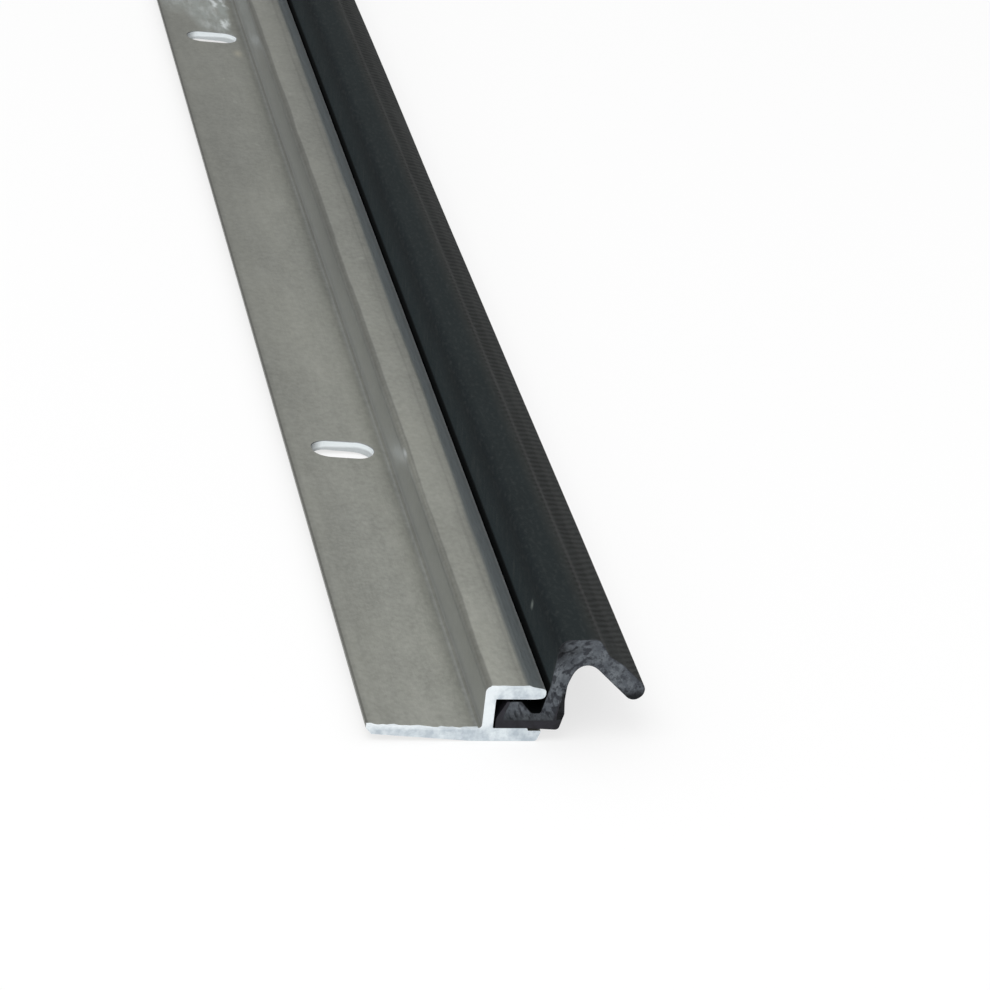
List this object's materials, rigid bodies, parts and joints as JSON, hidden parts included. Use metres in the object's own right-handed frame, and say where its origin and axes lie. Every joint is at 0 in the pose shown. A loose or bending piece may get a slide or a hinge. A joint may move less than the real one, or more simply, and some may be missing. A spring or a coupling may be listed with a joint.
{
  "type": "door weatherstrip",
  "caption": "Straight screw-on door weatherstrip: a slotted metal carrier strip whose channel grips a soft sponge seal with an arched stem and a drooping lip that presses on the closed door.",
  "frame": {"origin": "centre of the whole strip's footprint, on the plane of the carrier's flat back", "axes": "+X across the strip from the leg's free edge to the lip, +Y along its length, +Z off its back, away from the surface that it is screwed to"},
  "size_m": [0.0314, 0.9144, 0.013],
  "materials": {
    "carrier_aluminium": "satin grey, bright where it is sawn or punched",
    "seal_sponge": "matte black skin, dark grey open cells on the cut end",
    "anchor_rubber": "matte, smooth and dark"
  },
  "bodies": {
    "root": {"carrier": "carrier_aluminium", "sponge_seal": "seal_sponge", "anchor_strip": "anchor_rubber"}
  },
  "joints": []
}
